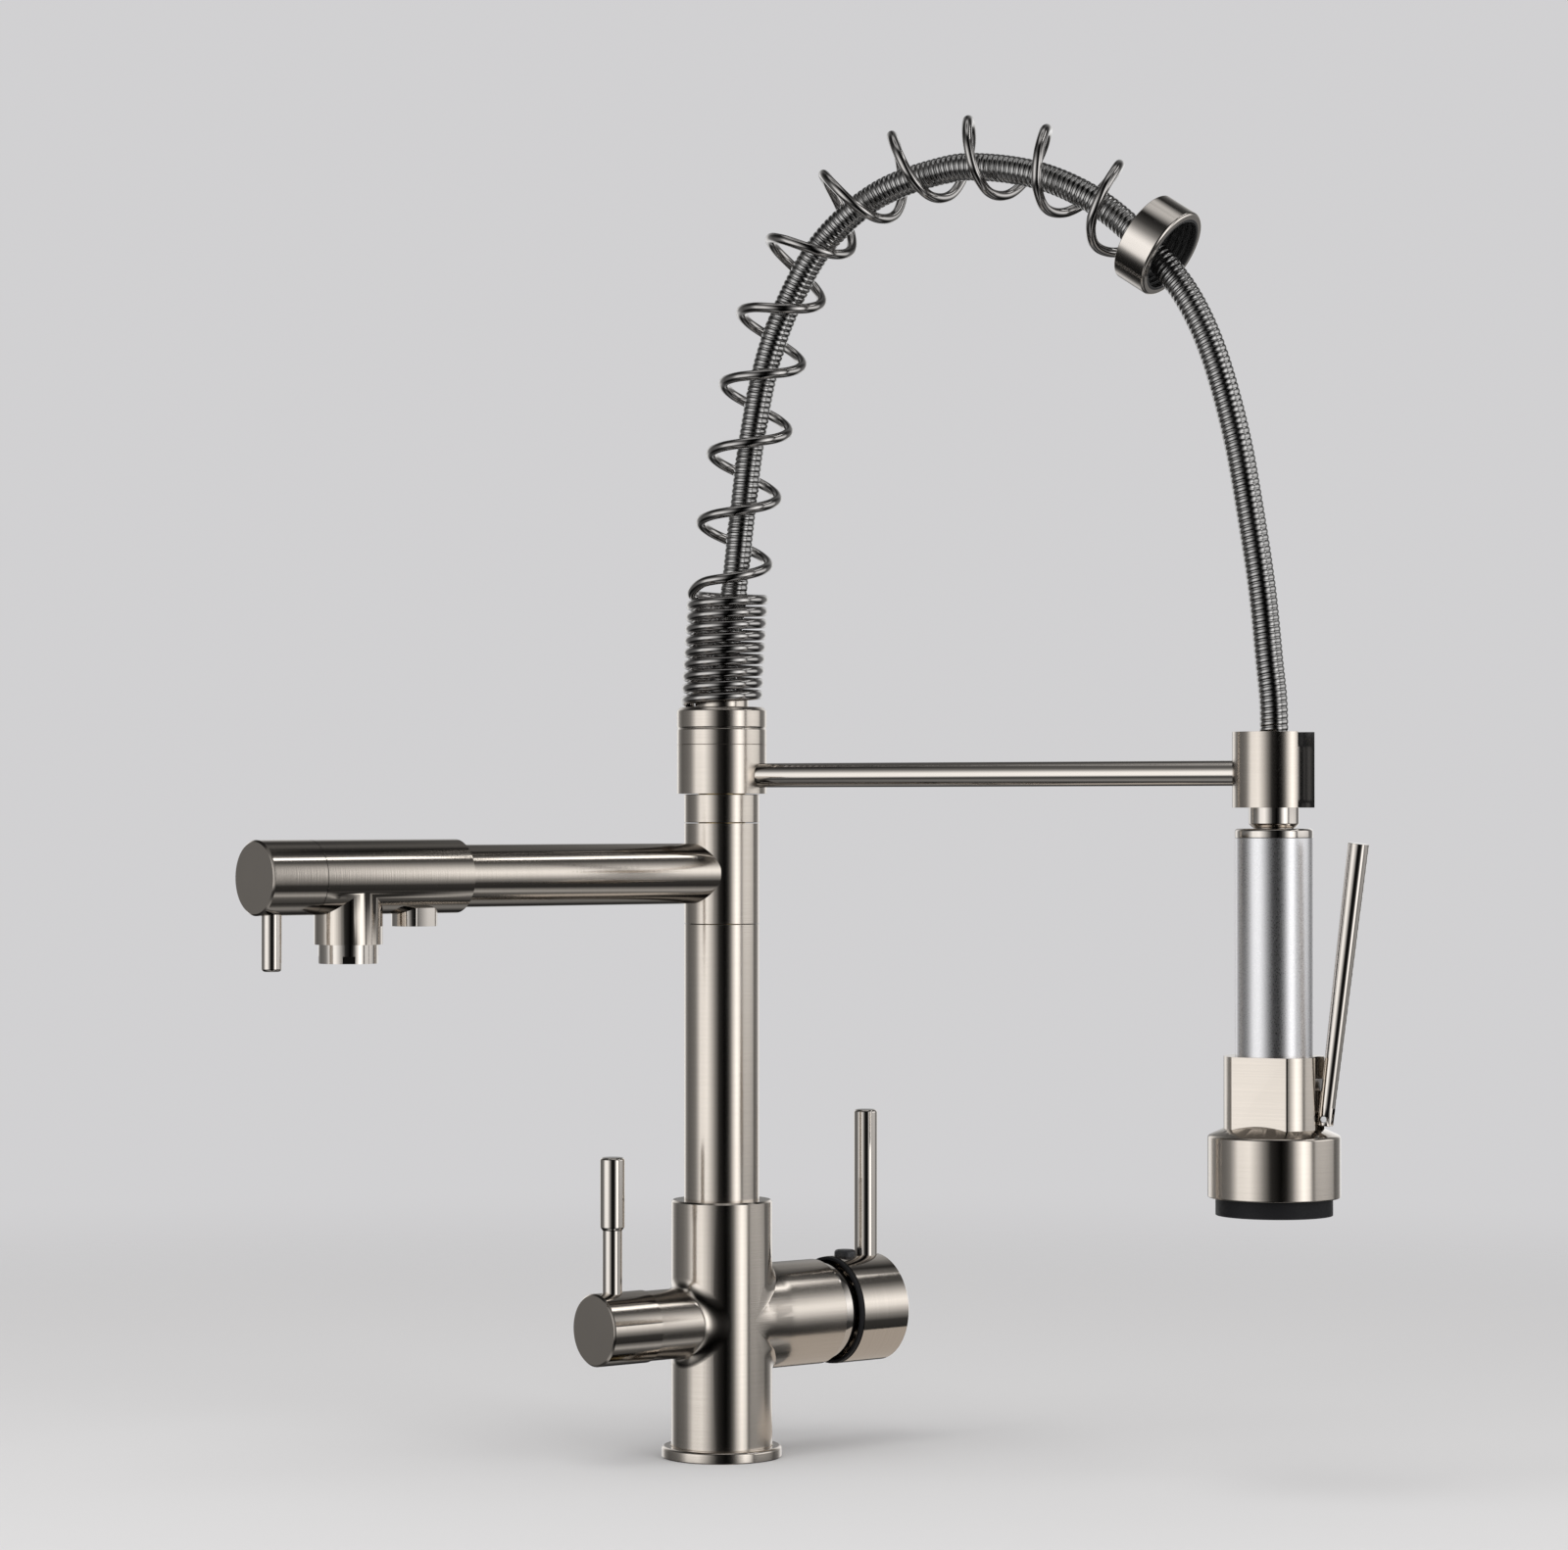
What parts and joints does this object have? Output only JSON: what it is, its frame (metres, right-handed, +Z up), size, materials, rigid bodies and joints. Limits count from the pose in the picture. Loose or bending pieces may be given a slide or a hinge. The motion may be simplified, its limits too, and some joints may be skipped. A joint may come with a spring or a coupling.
{
  "type": "drinking water filter tap",
  "caption": "Kitchen mixer tap with a swinging filter spout and a spring arch whose pull-down spray head hangs in an arm's holder.",
  "frame": {"origin": "centre of the tap's foot, on the worktop's surface", "axes": "+Z up the column, +X along the valve axis toward the mixer handle, -Y toward the user"},
  "size_m": [0.3591, 0.2917, 0.6166],
  "materials": {
    "brushed_nickel": "brushed warm nickel",
    "polished_nickel": "polished",
    "steel": "plain stainless",
    "brass": "machined",
    "black_rubber": "matte",
    "inner_plastic": "moulded",
    "black_plastic": "moulded",
    "spring_wire": "dark pewter",
    "hose": "steel braid over rubber",
    "satin_sleeve": "satin"
  },
  "bodies": {
    "base": {"deck_flange": "brushed_nickel", "deck_seal": "black_rubber", "mounting_shank": "brass", "clamp_seal": "black_rubber", "clamp_washer": "steel", "lock_nut": "brass", "tap_body": "brushed_nickel", "column_tube": "brushed_nickel", "column_bush": "inner_plastic", "riser_tube": "brass", "hub_seals": "black_rubber", "upper_ring": "brushed_nickel", "filter_valve": "brass", "mixer_cartridge": "inner_plastic", "cartridge_nut": "brass", "mixer_trim": "brushed_nickel"},
    "filter_handle": {"filter_spindle": "brass", "filter_knob": "brushed_nickel", "filter_lever": "polished_nickel"},
    "mixer_stem": {"cartridge_rotor": "inner_plastic"},
    "mixer_handle": {"cartridge_spindle": "steel", "mixer_cap": "brushed_nickel", "cap_seal": "black_rubber", "mixer_lever": "polished_nickel", "screw_cover": "black_plastic"},
    "spout": {"spout_hub": "brushed_nickel", "spout_tube": "brushed_nickel", "spout_sleeve": "brushed_nickel", "filter_water_tube": "inner_plastic", "main_aerator": "polished_nickel", "main_screen": "steel", "filter_nozzle": "polished_nickel"},
    "selector": {"selector_spindle": "brass", "selector_cap": "brushed_nickel", "selector_pin": "polished_nickel"},
    "arm": {"arm_collar": "brushed_nickel", "spring_seat": "brushed_nickel", "arm_rod": "polished_nickel", "spray_holder": "brushed_nickel", "arch_spring": "spring_wire", "spring_ring": "brushed_nickel", "spray_hose": "hose"},
    "spray_dock": {"hose_ferrule": "polished_nickel"},
    "spray_head": {"grip_ring": "polished_nickel", "grip_sleeve": "satin_sleeve", "grip_core": "inner_plastic", "spray_block": "brushed_nickel", "spray_bell": "brushed_nickel", "flow_disc": "inner_plastic", "spray_face": "black_rubber", "lever_pin": "steel"},
    "spray_trigger": {"spray_lever": "polished_nickel"},
    "spray_valve": {"valve_plunger": "steel"}
  },
  "joints": [
    {"name": "filter_turn", "type": "hinge", "parent": "base", "child": "filter_handle", "pos_m": [0, 0, 0.058], "axis": [1, 0, 0], "range_deg": [0, 90]},
    {"name": "mixer_temperature", "type": "hinge", "parent": "base", "child": "mixer_stem", "pos_m": [0, 0, 0.058], "axis": [1, 0, 0], "range_deg": [-45, 45]},
    {"name": "mixer_flow", "type": "hinge", "parent": "mixer_stem", "child": "mixer_handle", "pos_m": [0.052, 0, 0.058], "axis": [0, 1, 0], "range_deg": [0, 14]},
    {"name": "spout_swivel", "type": "hinge", "parent": "base", "child": "spout", "pos_m": [0, 0, 0.2475], "axis": [0, 0, 1], "range_deg": [-180, 180]},
    {"name": "selector_turn", "type": "hinge", "parent": "spout", "child": "selector", "pos_m": [-0.2056, 0, 0.2475], "axis": [1, 0, 0], "range_deg": [-60, 60]},
    {"name": "arm_swivel", "type": "hinge", "parent": "base", "child": "arm", "pos_m": [0, 0, 0.29], "axis": [0, 0, 1], "range_deg": [-180, 180]},
    {"name": "spray_pull", "type": "slide", "parent": "arm", "child": "spray_dock", "axis": [0, 0, -1], "range_m": [0, 0.045]},
    {"name": "spray_turn", "type": "hinge", "parent": "spray_dock", "child": "spray_head", "pos_m": [0.10209, -0.2293, 0.2651], "axis": [0, 0, 1], "range_deg": [-180, 180]},
    {"name": "spray_press", "type": "hinge", "parent": "spray_head", "child": "spray_trigger", "pos_m": [0.11104, -0.2494, 0.1519], "axis": [-0.9135, -0.4067, 0], "range_deg": [0, 6.5], "stiffness_Nm_per_rad": 0.5, "springref_deg": -5.73},
    {"name": "spray_valve_slide", "type": "slide", "parent": "spray_head", "child": "spray_valve", "axis": [-0.4067, 0.9135, 0], "range_m": [0, 0.0016]}
  ],
  "couplings": [
    {"joint": "spray_valve_slide", "follows": "spray_press", "m_per_rad": 0.0135}
  ]
}
